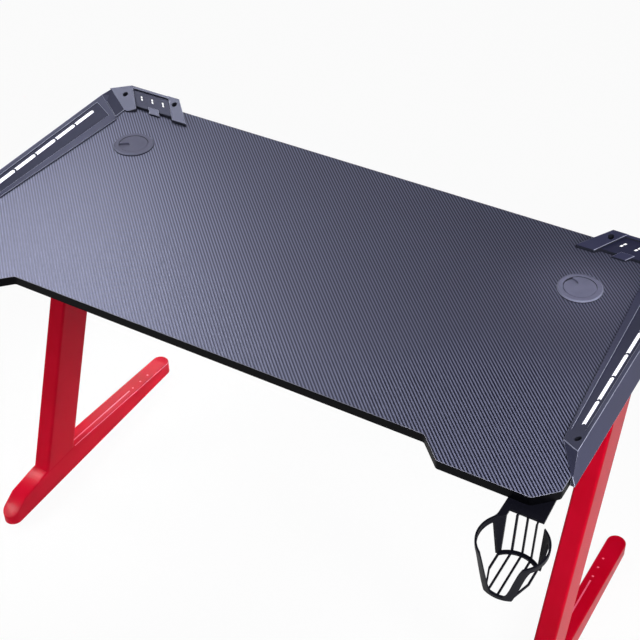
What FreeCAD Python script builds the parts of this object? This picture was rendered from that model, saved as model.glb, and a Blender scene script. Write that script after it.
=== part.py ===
import FreeCAD, Part
import math
import os
from FreeCAD import Vector

# Gaming desk with a striped board, lit plastic side trims and a pair of leaning steel legs.
# Millimetres. X runs along the desk, Y towards its rear edge, Z up from the floor.
# Right-hand pieces are drawn first, and the left-hand ones are their mirror images.

# Whole desk
desk_height = 710.0
desk_length = 1200.0
desk_depth = 600.0
fit_gap = 0.3
running_gap = 0.08

# Board
board_thickness = 16.0
board_inset = 8.0
edge_band_thickness = 1.0
front_recess_depth = 38.0
front_tab_length = 184.0
corner_chamfer = 32.0
outline_radius = 8.0
seat_depth = 1.0

# Side trims
trim_lip_rise = 3.0
trim_lip_gap_share = 0.55
trim_lip_gap_depth = 1.6
trim_ridge_rise = 20.0
trim_middle_width = 57.7
trim_inner_splay = -0.072
trim_slope_width = 13.0
trim_shoulder_from_front = 123.0
trim_shoulder_slant = -0.906
trim_tip_from_front = 62.0
trim_tip_width = 1.2
trim_tip_rise = 1.0
trim_body_from_rear = 84.5
trim_body_slant = 0.595
trim_notch_width = 2.0
trim_notch_depth = 2.5
trim_notch_from_side = 31.0
trim_joint_width = 67.0
trim_joint_from_rear = 51.2
trim_joint_slant = 0.609
trim_joint_drop = 3.0
trim_joint_gap = 0.4
channel_depth = 1.6
channel_inner_from_side = 48.3
channel_inner_splay = -0.0415
channel_outer_from_side = 20.5
channel_from_front = 146.0
channel_from_rear = 87.0
channel_front_slant = -3.0
channel_rear_slant = 13.5
trim_screw_from_side = 24.0
trim_screw_from_front = 123.0

# Light line in each side trim
dash_count = 6
dash_gap = 5.0
dash_width = 5.2
dash_point = 2.2
dash_proud = 0.3
light_from_side = 29.0
light_from_front = 157.5
light_from_rear = 99.5
light_groove_depth = 6.0
light_groove_width = 10.0
light_tape_width = 8.0
light_tape_thickness = 1.0
light_chip_size = 2.8
light_chip_height = 1.0
light_bar_thickness = 3.4
lug_root = 1.0

# Corner housings
housing_front_rise = 6.0
housing_slope = 0.37
housing_overhang = 5.0
housing_depth = 46.5
housing_skew = 0.88
outer_plate_width = 48.0
window_width = 84.0
inner_plate_rear_width = 27.0
inner_plate_front_width = 32.3
housing_corner_from_side = 7.5
housing_toe_from_side = 75.0
housing_toe_reach = 10.0
window_depth = 37.0
window_drop = 4.0
window_plate_thickness = 2.0
window_wall = 4.0
ledge_width = 5.0
ledge_drop = 1.0
tab_drop = 3.3
tab_from_rear = 27.0
tab_length = 13.0
tab_width = 24.0
tab_from_side = 107.0
lamp_count = 3
lamp_first_from_side = 132.7
lamp_pitch = 25.1
lamp_from_rear = 13.5
lamp_width = 3.7
lamp_depth = 3.3
lamp_stagger = 4.7
lamp_proud = 0.2
lamp_board_thickness = 1.0
outer_screw_from_side = 46.8
outer_screw_from_rear = 18.2
inner_screw_from_side = 157.0
inner_screw_from_rear = 9.0
inlet_from_side = 80.0
inlet_drop = 9.0
inlet_radius = 4.0
inlet_hole_radius = 2.75
inlet_depth = 10.0
inlet_flange_radius = 5.5
inlet_flange_thickness = 1.5

# Wood screws for trims and housings
screw_head_radius = 4.0
screw_head_height = 2.5
screw_shank_radius = 1.75
screw_bite = 9.0
screw_well_radius = 5.2
screw_well_floor = 1.4

# Cable grommets
grommet_from_side = 156.0
grommet_from_rear = 142.0
grommet_flange_radius = 37.5
grommet_flange_height = 4.8
grommet_flange_bevel = 2.2
grommet_sleeve_radius = 30.0
grommet_sleeve_wall = 2.5
grommet_sleeve_drop = 7.0
grommet_cap_radius = 26.5
grommet_cap_thickness = 3.0
grommet_ledge_width = 2.6
grommet_ledge_thickness = 2.0
cap_notch_radius = 8.0
cap_notch_reach = 11.0
shutter_half_angle_deg = 34.0
left_notch_angle_deg = 225.0
right_notch_angle_deg = 157.0

# Legs
leg_from_side = 37.0
leg_thickness = 37.0
leg_wall = 2.5
foot_width = 38.0
foot_from_front = 45.0
foot_from_rear = 5.0
foot_clearance = 10.0
foot_nose_height = 18.0
foot_crown_height = 54.0
foot_crown_margin = 3.0
foot_tail_height = 28.0
foot_nose_run = 45.0
foot_nose_rise = 28.0
foot_edge_radius = 3.0
foot_line_width = 3.0
foot_line_depth = 0.8
foot_line_from_middle = 5.7
foot_line_gap = 12.0
foot_line_from_rear = 145.0
foot_dimple_radius = 2.2
foot_dimple_count = 3
foot_dimple_pitch = 27.0
foot_dimple_gap = 12.0
foot_solid_end = 70.0
column_width = 80.0
column_lean_deg = 20.3
column_middle_y = 34.0
column_middle_drop = 294.0
column_edge_radius = 5.0
arm_height = 46.0
arm_from_front = 45.0
arm_from_rear = 85.0
arm_edge_radius = 4.0
end_plate_thickness = 3.0
arm_screw_from_front_end = 40.0
arm_screw_from_rear_end = 30.0
arm_middle_screw_y = -25.0
arm_screw_head_radius = 4.5
arm_screw_head_height = 2.8
arm_screw_shank_radius = 2.4
arm_screw_bite = 11.0
arm_access_radius = 7.0

# Levelling glides
glide_from_end = 30.0
glide_pad_radius = 13.0
glide_pad_edge = 2.0
glide_stem_radius = 4.0
glide_travel = 10.0
glide_grip = 12.0

# Crossbeams under the board
front_beam_from_front = 170.0
rear_beam_clearance = 20.5
beam_height = 40.0
beam_width = 25.0
beam_wall = 2.0
flange_length = 76.0
flange_thickness = 4.0
bolt_spacing = 52.0
bolt_head_radius = 5.5
bolt_head_height = 4.0
bolt_shank_radius = 3.0
bolt_length = 14.0

# Cup holder
cup_from_side = 34.0
cup_past_front = 70.0
cup_rim_radius = 51.0
cup_taper = 7.0
cup_height = 66.0
cup_drop = 4.0
cup_wall = 3.0
cup_floor_thickness = 3.0
cup_plate_thickness = 4.0
cup_plate_arm_gap = 3.5
cup_plate_from_side = 14.0
cup_plate_width = 59.0
cup_plate_slant = 4.0
cup_plate_flare_radius = 22.0
cup_rib_count = 3
cup_rib_pitch_share = 0.284
cup_rib_width = 2.8
cup_slot_plate_reach = 0.6
cup_strip_width = 9.0
cup_window_reach_share = 0.55
cup_seat_share = 0.6
cup_seat_run_share = 0.04
cup_tongue_share = 0.3
cup_tongue_edge = 2.6
cup_dip_floor_share = 0.16
cup_dip_rim_share = 0.6
cup_dip_steps = 8
cup_dip_ease = 0.9
cup_dip_margin = 3.0
cup_view_hole_size = 10.5
cup_view_hole_from_side = 20.0
cup_screw_from_front = 23.0
cup_screw_margin = 13.0
cup_screw_spacing = 35.0

# Levels and places that follow from the sizes above
board_top_z = desk_height
board_low_z = desk_height - board_thickness
seat_z = board_top_z - seat_depth
trim_lip_z = board_top_z + trim_lip_rise
trim_ridge_z = board_top_z + trim_ridge_rise
half_length = desk_length / 2.0
half_depth = desk_depth / 2.0
board_side_x = half_length - board_inset
skirt_x = board_side_x + fit_gap
trim_inner_x_middle = half_length - trim_middle_width
trim_shoulder_y = trim_shoulder_from_front - half_depth
trim_tip_y = trim_tip_from_front - half_depth
trim_ridge_x = half_length - trim_slope_width
trim_body_y = half_depth - trim_body_from_rear
trim_joint_x = half_length - trim_joint_width
trim_joint_y = half_depth - trim_joint_from_rear
channel_front_y = channel_from_front - half_depth
channel_rear_y = half_depth - channel_from_rear
channel_outer_x = half_length - channel_outer_from_side
trim_notch_x = half_length - trim_notch_from_side
trim_screw_x = half_length - trim_screw_from_side
trim_screw_y = trim_screw_from_front - half_depth
light_length = desk_depth - light_from_front - light_from_rear
dash_pitch = (light_length + dash_gap) / dash_count
dash_length = dash_pitch - dash_gap
light_x = half_length - light_from_side
light_middle_y = (light_from_front - light_from_rear) / 2.0
housing_rear_y = half_depth + housing_overhang
housing_front_y = housing_rear_y - housing_depth
housing_outer_rear_x = half_length - outer_plate_width
housing_corner_x = half_length - housing_corner_from_side
window_rear_x = housing_outer_rear_x - window_width
housing_inner_rear_x = window_rear_x - inner_plate_rear_width
housing_toe_x = half_length - housing_toe_from_side
housing_toe_y = housing_front_y - housing_toe_reach
window_front_y = housing_rear_y - window_depth
tab_rear_y = half_depth - tab_from_rear
tab_front_y = tab_rear_y - tab_length
tab_outer_x = half_length - tab_from_side
tab_inner_x = tab_outer_x - tab_width
lamp_first_x = half_length - lamp_first_from_side
lamp_y = half_depth - lamp_from_rear
outer_screw_x = half_length - outer_screw_from_side
outer_screw_y = half_depth - outer_screw_from_rear
inner_screw_x = half_length - inner_screw_from_side
inner_screw_y = half_depth - inner_screw_from_rear
inlet_x = half_length - inlet_from_side
grommet_x = half_length - grommet_from_side
grommet_y = half_depth - grommet_from_rear
grommet_sleeve_length = board_thickness - seat_depth + grommet_sleeve_drop
leg_outer_x = half_length - leg_from_side
leg_inner_x = leg_outer_x - leg_thickness
leg_middle_x = leg_outer_x - leg_thickness / 2.0
foot_low_z = foot_clearance
foot_front_y = foot_from_front - half_depth
foot_rear_y = half_depth - foot_from_rear
glide_front_y = foot_front_y + glide_from_end
glide_rear_y = foot_rear_y - glide_from_end
column_middle_z = desk_height - column_middle_drop
arm_low_z = board_low_z - arm_height
arm_front_y = arm_from_front - half_depth
arm_rear_y = half_depth - arm_from_rear
arm_screw_ys = (
    arm_front_y + arm_screw_from_front_end,
    arm_middle_screw_y,
    arm_rear_y - arm_screw_from_rear_end,
)
rear_beam_y = grommet_y - grommet_sleeve_radius - rear_beam_clearance - beam_width / 2.0
beam_ys = (front_beam_from_front - half_depth, rear_beam_y)
cup_x = half_length - cup_from_side
cup_floor_radius = cup_rim_radius - cup_taper
cup_rib_pitch = cup_rim_radius * cup_rib_pitch_share
cup_seat_half = cup_rim_radius * cup_seat_share
cup_tongue_half = cup_rim_radius * cup_tongue_share
cup_dip_floor_half = cup_rim_radius * cup_dip_floor_share
cup_dip_rim_half = cup_rim_radius * cup_dip_rim_share
cup_y = -half_depth - cup_past_front
cup_top_z = board_low_z - cup_drop
cup_plate_rear_y = arm_front_y - cup_plate_arm_gap
cup_plate_right_x = half_length - cup_plate_from_side
cup_plate_left_x = cup_plate_right_x - cup_plate_width
cup_view_hole_x = half_length - cup_view_hole_from_side
cup_view_hole_y = half_length - board_inset - corner_chamfer - half_depth - cup_view_hole_x
cup_screw_first_x = cup_plate_left_x + cup_screw_margin
cup_screw_y = cup_screw_from_front - half_depth
above = 30.0
below = 30.0


def outline_wire(points, z):
    """Closed polygon through plan points at one height."""
    corners = [Vector(x, y, z) for x, y in points]
    return Part.makePolygon(corners + corners[:1])


def prism(points, low_z, high_z):
    """Upright prism on a closed plan outline."""
    return Part.Face(outline_wire(points, low_z)).extrude(Vector(0, 0, high_z - low_z))


def grown_prism(points, margin, low_z, high_z):
    """Upright prism on a plan outline that is moved outwards by a margin."""
    face = Part.Face(outline_wire(points, low_z)).makeOffset2D(margin, join=2)
    return face.extrude(Vector(0, 0, high_z - low_z))


def side_prism(points, low_x, high_x):
    """Prism along X on a closed outline of (y, z) points."""
    corners = [Vector(low_x, y, z) for y, z in points]
    face = Part.Face(Part.makePolygon(corners + corners[:1]))
    return face.extrude(Vector(high_x - low_x, 0, 0))


def block(low_x, high_x, low_y, high_y, low_z, high_z):
    """Box between two corners."""
    return Part.makeBox(high_x - low_x, high_y - low_y, high_z - low_z, Vector(low_x, low_y, low_z))


def rod(radius, x, y, low_z, high_z):
    """Upright cylinder."""
    return Part.makeCylinder(radius, high_z - low_z, Vector(x, y, low_z))


def rod_x(radius, y, z, low_x, high_x):
    """Cylinder along X."""
    return Part.makeCylinder(radius, high_x - low_x, Vector(low_x, y, z), Vector(1, 0, 0))


def rod_y(radius, x, z, low_y, high_y):
    """Cylinder along Y."""
    return Part.makeCylinder(radius, high_y - low_y, Vector(x, low_y, z), Vector(0, 1, 0))


def handed(shape, sign):
    """A right-hand shape, or its mirror image for the left-hand side."""
    if sign > 0:
        return shape
    return shape.mirror(Vector(0, 0, 0), Vector(1, 0, 0))


def upright_edges(shape):
    """Edges of a shape that run straight up."""
    found = []
    for edge in shape.Edges:
        ends = [vertex.Point for vertex in edge.Vertexes]
        if len(ends) == 2 and (ends[0] - ends[1]).cross(Vector(0, 0, 1)).Length < 0.001:
            found.append(edge)
    return found


pieces = {}

# Board: outline, core and edge band
tab_start_x = half_length - front_tab_length
half_outline = [
    (tab_start_x - front_recess_depth, front_recess_depth - half_depth),
    (tab_start_x, -half_depth),
    (board_side_x - corner_chamfer, -half_depth),
    (board_side_x, corner_chamfer - half_depth),
    (board_side_x, half_depth - corner_chamfer),
    (board_side_x - corner_chamfer, half_depth),
]
board_outline = half_outline + [(-x, y) for x, y in reversed(half_outline)]
board_blank = prism(board_outline, board_low_z, board_top_z)
board_blank = board_blank.makeFillet(outline_radius, upright_edges(board_blank))
board_low_face = min(board_blank.Faces, key=lambda face: face.CenterOfMass.z)
core_face = board_low_face.makeOffset2D(-edge_band_thickness)
board_core = core_face.extrude(Vector(0, 0, board_thickness))
board_room = board_low_face.makeOffset2D(fit_gap).extrude(Vector(0, 0, board_thickness - seat_depth))
edge_band = board_blank.cut(board_core)


# Side trim: a wedge that rises outwards to a ridge, with a skirt over the board's side and a sunk channel
def trim_inner_x(y):
    """Distance of the trim's inner edge from the desk's middle."""
    return half_length - trim_middle_width + trim_inner_splay * y


def trim_section(inner_x, inner_y, slant, ridge_x, lip_z, ridge_z, gap_depth=trim_lip_gap_depth):
    """Closed outline of the trim in an upright plane that slants in plan, with a shadow gap under its lip."""
    gap_z = seat_z + trim_lip_gap_share * (lip_z - seat_z)
    points = [
        (inner_x + gap_depth, seat_z),
        (inner_x + gap_depth, gap_z),
        (inner_x, gap_z),
        (inner_x, lip_z),
        (ridge_x, ridge_z),
        (half_length, board_low_z),
        (skirt_x, board_low_z),
        (skirt_x, seat_z),
    ]
    corners = [Vector(x, inner_y + slant * (x - inner_x), z) for x, z in points]
    return Part.makePolygon(corners + corners[:1])


def joint_y(x):
    """Depth of the slanted joint between side trim and corner housing."""
    return trim_joint_y + trim_joint_slant * (x - trim_joint_x)


def body_end_y(x):
    """Depth of the slanted line where the trim's main body ends and its rear block starts."""
    return trim_body_y + trim_body_slant * (x - trim_inner_x(trim_body_y))


trim_tip_x = skirt_x + trim_tip_width
tip_z = board_top_z + trim_tip_rise
shoulder_x = trim_inner_x(trim_shoulder_y)
body_end_x = trim_inner_x(trim_body_y)
joint_ridge_z = trim_ridge_z - trim_joint_drop
joint_trim_y = trim_joint_y - trim_joint_gap
tip_section = trim_section(
    trim_tip_x, trim_tip_y, 0.0, trim_tip_x + trim_tip_width, tip_z, tip_z, trim_tip_width / 2.0
)
shoulder_section = trim_section(
    shoulder_x, trim_shoulder_y, trim_shoulder_slant, trim_ridge_x, trim_lip_z, trim_ridge_z
)
body_end_section = trim_section(
    body_end_x, trim_body_y, trim_body_slant, trim_ridge_x, trim_lip_z, trim_ridge_z
)
block_section = trim_section(
    trim_joint_x, body_end_y(trim_joint_x), trim_body_slant, trim_ridge_x, trim_lip_z, trim_ridge_z
)
joint_section = trim_section(
    trim_joint_x, joint_trim_y, trim_joint_slant, trim_ridge_x, trim_lip_z, joint_ridge_z
)
trim_solid = Part.makeLoft([tip_section, shoulder_section], True, True)
trim_solid = trim_solid.fuse(Part.makeLoft([shoulder_section, body_end_section], True, True))
trim_solid = trim_solid.fuse(Part.makeLoft([block_section, joint_section], True, True))
corner_y = joint_y(housing_corner_x)
corner_slant = (corner_y - housing_rear_y) / (housing_corner_x - housing_outer_rear_x)
trim_end_y = corner_y + corner_slant * housing_corner_from_side
past_trim_y = trim_end_y + corner_slant * housing_corner_from_side
beyond_corner = [
    (housing_corner_x, corner_y - trim_joint_gap),
    (half_length + housing_corner_from_side, past_trim_y - trim_joint_gap),
    (half_length + housing_corner_from_side, desk_depth),
    (housing_corner_x, desk_depth),
]
trim_solid = trim_solid.cut(prism(beyond_corner, board_low_z - below, trim_ridge_z + above))


def lowered_trim(drop):
    """The trim's full form moved straight down."""
    form = trim_solid.copy()
    form.translate(Vector(0, 0, -drop))
    return form


def channel_inner_x(y):
    """Distance of the channel's inner edge from the desk's middle."""
    return half_length - channel_inner_from_side + channel_inner_splay * y


channel_plan = [
    (channel_inner_x(channel_front_y), channel_front_y),
    (channel_outer_x, channel_front_y + channel_front_slant),
    (channel_outer_x, channel_rear_y + channel_rear_slant),
    (channel_inner_x(channel_rear_y), channel_rear_y),
]
notch_plan = [
    (trim_joint_x - lug_root, body_end_y(trim_joint_x - lug_root)),
    (trim_notch_x, body_end_y(trim_notch_x)),
    (trim_notch_x, body_end_y(trim_notch_x) + trim_notch_width),
    (trim_joint_x - lug_root, body_end_y(trim_joint_x - lug_root) + trim_notch_width),
]
channel_room = prism(channel_plan, seat_z, trim_ridge_z + above).cut(lowered_trim(channel_depth))
notch_room = prism(notch_plan, trim_lip_z - trim_notch_depth, trim_ridge_z + above)
trim_body = trim_solid.cut(channel_room).cut(notch_room.cut(lowered_trim(trim_notch_depth)))


# Light line: lamp tape and diffuser bar in a groove, with one light guide up to the channel for each dash
def light_strip(width, length, low_z, high_z, along=0.0):
    """Bar along the light line, centred at a distance along it."""
    middle_y = light_middle_y + along
    return block(
        light_x - width / 2.0, light_x + width / 2.0, middle_y - length / 2.0, middle_y + length / 2.0,
        low_z, high_z,
    )


def dash_prism(width, length, along):
    """Upright prism on a dash's plan, with a notched front end and a pointed rear end."""
    front_y = light_middle_y + along - length / 2.0
    rear_y = front_y + length
    plan = [
        (light_x - width / 2.0, front_y),
        (light_x, front_y + dash_point),
        (light_x + width / 2.0, front_y),
        (light_x + width / 2.0, rear_y),
        (light_x, rear_y + dash_point),
        (light_x - width / 2.0, rear_y),
    ]
    return prism(plan, seat_z - lug_root, trim_ridge_z)


dash_places = [(index - (dash_count - 1) / 2.0) * dash_pitch for index in range(dash_count)]
light_floor_z = seat_z - light_groove_depth
groove_length = light_length + 2.0 * dash_gap
light_groove = light_strip(light_groove_width, groove_length, light_floor_z, seat_z + above)
tape_top_z = light_floor_z + light_tape_thickness
light_tape = light_strip(light_tape_width, light_length, light_floor_z, tape_top_z)
light_bar_width = light_groove_width - 2.0 * fit_gap
light_bar = light_strip(light_bar_width, light_length, seat_z - light_bar_thickness, seat_z)
guide_form = lowered_trim(channel_depth - dash_proud)
for place in dash_places:
    trim_body = trim_body.cut(dash_prism(dash_width, dash_length, place))
    lug = dash_prism(dash_width - fit_gap, dash_length - 2.0 * fit_gap, place)
    light_bar = light_bar.fuse(lug.common(guide_form))
    chip_top_z = tape_top_z + light_chip_height
    chip = light_strip(light_chip_size, light_chip_size, tape_top_z, chip_top_z, place)
    light_tape = light_tape.fuse(chip)
light_bar = light_bar.removeSplitter()


# Corner housing: outer plate, sunk window plate, inner plate and tab under one roof that rises to the rear
def skewed(rear_x, y):
    """Where a skewed line that starts at the housing's rear edge lies at another depth."""
    return rear_x - housing_skew * (housing_rear_y - y)


def skewed_strip(inner_rear_x, outer_rear_x, rear_y, front_y):
    """Plan outline of a skewed strip between two depths."""
    return [
        (skewed(inner_rear_x, rear_y), rear_y),
        (skewed(outer_rear_x, rear_y), rear_y),
        (skewed(outer_rear_x, front_y), front_y),
        (skewed(inner_rear_x, front_y), front_y),
    ]


def roof_z(y):
    """Height of the housing's sloped roof at one depth."""
    return board_top_z + housing_front_rise + housing_slope * (y - housing_front_y)


def under_roof(plan, low_z, drop):
    """Upright body on a plan outline, cut off by the roof slope moved down by a drop."""
    front_y = housing_front_y - housing_depth
    rear_y = housing_rear_y + housing_depth
    slope = [
        (front_y, board_low_z - below),
        (rear_y, board_low_z - below),
        (rear_y, roof_z(rear_y) - drop),
        (front_y, roof_z(front_y) - drop),
    ]
    return prism(plan, low_z, trim_ridge_z + above).common(side_prism(slope, 0.0, desk_length))


outer_plate_plan = [
    (skewed(housing_outer_rear_x, housing_front_y), housing_front_y),
    (housing_outer_rear_x, housing_rear_y),
    (housing_corner_x, corner_y),
    (trim_joint_x, trim_joint_y),
    (housing_toe_x, housing_toe_y),
]
window_front_x = skewed(window_rear_x, housing_front_y)
inner_plate_plan = [
    (housing_inner_rear_x, housing_rear_y),
    (window_rear_x, housing_rear_y),
    (window_front_x, housing_front_y),
    (window_front_x - inner_plate_front_width, housing_front_y),
]
window_plan = skewed_strip(window_rear_x, housing_outer_rear_x, housing_rear_y, window_front_y)
ledge_plan = skewed_strip(window_rear_x, housing_outer_rear_x, housing_rear_y, housing_rear_y - ledge_width)
tab_plan = [
    (tab_inner_x, tab_rear_y),
    (tab_outer_x, tab_rear_y),
    (tab_outer_x - housing_skew * tab_length, tab_front_y),
    (tab_inner_x - housing_skew * tab_length, tab_front_y),
]
housing_steps = (
    (outer_plate_plan, 0.0),
    (inner_plate_plan, 0.0),
    (window_plan, window_drop),
    (ledge_plan, ledge_drop),
    (tab_plan, tab_drop),
)
housing_body = under_roof(outer_plate_plan, board_low_z, 0.0)
for plan, drop in housing_steps[1:]:
    housing_body = housing_body.fuse(under_roof(plan, board_low_z, drop))
housing_body = housing_body.removeSplitter().cut(board_room)

lamp_room_plan = skewed_strip(
    window_rear_x + 2.0 * window_wall,
    housing_outer_rear_x - 2.0 * window_wall,
    housing_rear_y - ledge_width - window_wall,
    tab_rear_y + window_wall,
)
lamp_room_drop = window_drop + window_plate_thickness
lamp_board_z = seat_z + lamp_board_thickness
housing_body = housing_body.cut(under_roof(lamp_room_plan, seat_z, lamp_room_drop))
lamp_board = grown_prism(lamp_room_plan, -fit_gap, seat_z, lamp_board_z)
lens_room = grown_prism(lamp_room_plan, -fit_gap, lamp_board_z, trim_ridge_z + above)
corner_lens = lens_room.common(under_roof(lamp_room_plan, seat_z, lamp_room_drop))
for index in range(lamp_count):
    for half in (-0.5, 0.5):
        lamp_middle_y = lamp_y + half * lamp_stagger
        lamp_middle_x = lamp_first_x + index * lamp_pitch + half * lamp_stagger * housing_skew
        lamp_rear_y = lamp_middle_y + lamp_depth / 2.0
        lamp_front_y = lamp_middle_y - lamp_depth / 2.0
        lean = housing_skew * lamp_depth / 2.0
        lamp_plan = [
            (lamp_middle_x + lean - lamp_width / 2.0, lamp_rear_y),
            (lamp_middle_x + lean + lamp_width / 2.0, lamp_rear_y),
            (lamp_middle_x - lean + lamp_width / 2.0, lamp_front_y),
            (lamp_middle_x - lean - lamp_width / 2.0, lamp_front_y),
        ]
        housing_body = housing_body.cut(prism(lamp_plan, lamp_board_z, trim_ridge_z + above))
        lug = grown_prism(lamp_plan, -fit_gap / 2.0, lamp_board_z, trim_ridge_z + above)
        lug = lug.common(under_roof(lamp_plan, lamp_board_z, window_drop - lamp_proud))
        corner_lens = corner_lens.fuse(lug)
corner_lens = corner_lens.removeSplitter()

inlet_z = board_top_z - inlet_drop
inlet_rear_y = housing_rear_y + inlet_flange_thickness
inlet_front_y = housing_rear_y - inlet_depth
inlet = rod_y(inlet_radius, inlet_x, inlet_z, inlet_front_y, housing_rear_y)
inlet = inlet.fuse(rod_y(inlet_flange_radius, inlet_x, inlet_z, housing_rear_y, inlet_rear_y))
inlet_floor_y = inlet_front_y + inlet_flange_thickness
inlet = inlet.cut(rod_y(inlet_hole_radius, inlet_x, inlet_z, inlet_floor_y, inlet_rear_y))
inlet_room = rod_y(inlet_radius + running_gap, inlet_x, inlet_z, inlet_front_y - fit_gap, inlet_rear_y)
housing_body = housing_body.cut(inlet_room)


# Wood screws sunk in wells of the trims and housings
def wood_screw(x, y, seat):
    """Pan-head wood screw with its head resting at a height."""
    head = rod(screw_head_radius, x, y, seat, seat + screw_head_height)
    socket = rod(screw_shank_radius, x, y, seat + screw_head_height / 2.0, seat + screw_head_height)
    return head.fuse(rod(screw_shank_radius, x, y, seat_z - screw_bite, seat)).cut(socket)


def screw_room(x, y, seat):
    """Well for the screw's head and the hole for its shank."""
    well = rod(screw_well_radius, x, y, seat, seat + above)
    return well.fuse(rod(screw_shank_radius + running_gap, x, y, seat_z - screw_bite, seat))


screw_seat_z = seat_z + screw_well_floor
trim_screw_room = screw_room(trim_screw_x, trim_screw_y, screw_seat_z)
trim_body = trim_body.cut(trim_screw_room)
housing_screw_places = ((outer_screw_x, outer_screw_y), (inner_screw_x, inner_screw_y))
for x, y in housing_screw_places:
    housing_body = housing_body.cut(screw_room(x, y, screw_seat_z))

# Seats, grooves and pilot holes for the left-hand and right-hand fittings in the board
trim_plan = [
    (shoulder_x, trim_shoulder_y),
    (trim_tip_x, trim_tip_y),
    (half_length, trim_tip_y),
    (half_length, trim_end_y),
    (housing_corner_x, corner_y),
    (trim_joint_x, trim_joint_y),
    (trim_joint_x, body_end_y(trim_joint_x)),
    (body_end_x, trim_body_y),
]
fitting_room = grown_prism(trim_plan, fit_gap, seat_z, board_top_z + above)
for plan, drop in housing_steps:
    fitting_room = fitting_room.fuse(grown_prism(plan, fit_gap, seat_z, board_top_z + above))
fitting_room = fitting_room.fuse(light_groove).fuse(trim_screw_room).fuse(inlet_room)
for x, y in housing_screw_places:
    fitting_room = fitting_room.fuse(screw_room(x, y, screw_seat_z))
flange_room = rod(grommet_flange_radius + fit_gap, grommet_x, grommet_y, seat_z, board_top_z + above)
sleeve_room = rod(grommet_sleeve_radius + fit_gap, grommet_x, grommet_y, board_low_z - below, board_top_z)
fitting_room = fitting_room.fuse(flange_room).fuse(sleeve_room)


# Cable grommet: flanged sleeve with a ledge, a shutter and a turning cap with a notch
def grommet_ring(outer_radius, inner_radius, low_z, high_z):
    """Upright ring on the grommet's axis."""
    ring = rod(outer_radius, grommet_x, grommet_y, low_z, high_z)
    return ring.cut(rod(inner_radius, grommet_x, grommet_y, low_z, high_z))


def pie(angle_deg, half_angle_deg, radius, low_z, high_z):
    """Wedge of a disc on the grommet's axis about a direction."""
    height = high_z - low_z
    sector = Part.makeCylinder(radius, height, Vector(0, 0, low_z), Vector(0, 0, 1), 2.0 * half_angle_deg)
    sector.rotate(Vector(0, 0, 0), Vector(0, 0, 1), angle_deg - half_angle_deg)
    sector.translate(Vector(grommet_x, grommet_y, 0))
    return sector


flange_top_z = seat_z + grommet_flange_height
sleeve_inner_radius = grommet_sleeve_radius - grommet_sleeve_wall
cap_top_z = flange_top_z - fit_gap
cap_low_z = cap_top_z - grommet_cap_thickness
ledge_z = cap_low_z - fit_gap
shutter_radius = sleeve_inner_radius - grommet_ledge_width


def grommet_sleeve(angle_deg):
    """Flange, sleeve, inner ledge and the shutter under the cap's notch at one angle."""
    flange = rod(grommet_flange_radius, grommet_x, grommet_y, seat_z, flange_top_z)
    rim = [edge for edge in flange.Edges if abs(edge.CenterOfMass.z - flange_top_z) < 0.001]
    flange = flange.makeChamfer(grommet_flange_bevel, rim)
    sleeve_low_z = seat_z - grommet_sleeve_length
    body = flange.fuse(rod(grommet_sleeve_radius, grommet_x, grommet_y, sleeve_low_z, seat_z))
    body = body.cut(rod(sleeve_inner_radius, grommet_x, grommet_y, sleeve_low_z, flange_top_z))
    ledge_low_z = ledge_z - grommet_ledge_thickness
    ledge = grommet_ring(sleeve_inner_radius, shutter_radius, ledge_low_z, ledge_z)
    shutter = pie(angle_deg, shutter_half_angle_deg, sleeve_inner_radius, ledge_low_z, ledge_z)
    notch_end_radius = grommet_cap_radius - cap_notch_reach - cap_notch_radius
    keep_out = rod(notch_end_radius, grommet_x, grommet_y, ledge_low_z, ledge_z)
    return body.fuse(ledge).fuse(shutter.cut(keep_out)).removeSplitter()


def grommet_cap(angle_deg):
    """Disc with a round-ended cable notch at one angle of its rim."""
    cap = rod(grommet_cap_radius, grommet_x, grommet_y, cap_low_z, cap_top_z)
    middle = grommet_cap_radius - cap_notch_reach
    notch = Part.makeCylinder(cap_notch_radius, grommet_cap_thickness, Vector(middle, 0, cap_low_z))
    mouth_end = grommet_cap_radius + cap_notch_radius
    mouth = block(middle, mouth_end, -cap_notch_radius, cap_notch_radius, cap_low_z, cap_top_z)
    notch = notch.fuse(mouth)
    notch.rotate(Vector(0, 0, 0), Vector(0, 0, 1), angle_deg)
    notch.translate(Vector(grommet_x, grommet_y, 0))
    return cap.cut(notch)


# Foot: pressed bar with round ends, tallest under the column and open below between the glides
def foot_outline(inset):
    """Side view of the foot, drawn in from its skin by a wall."""
    low = foot_low_z if inset == 0.0 else foot_low_z - below
    crown_z = foot_low_z + foot_crown_height - inset
    crown_half = column_run / 2.0 + foot_crown_margin
    crown_front_y = column_y(crown_z) - crown_half
    crown_rear_y = column_y(crown_z) + crown_half
    return [
        (foot_front_y + inset, low),
        (foot_front_y + inset, foot_low_z + foot_nose_height - inset),
        (foot_front_y + foot_nose_run, foot_low_z + foot_nose_height + foot_nose_rise - inset),
        (crown_front_y, crown_z),
        (crown_rear_y, crown_z),
        (foot_rear_y - foot_width / 2.0, foot_low_z + foot_tail_height - inset),
        (foot_rear_y - inset, foot_low_z + foot_tail_height - inset),
        (foot_rear_y - inset, low),
    ]


def column_y(z):
    """Middle of the leaning column at one height."""
    return column_middle_y + math.tan(math.radians(column_lean_deg)) * (z - column_middle_z)


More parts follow.
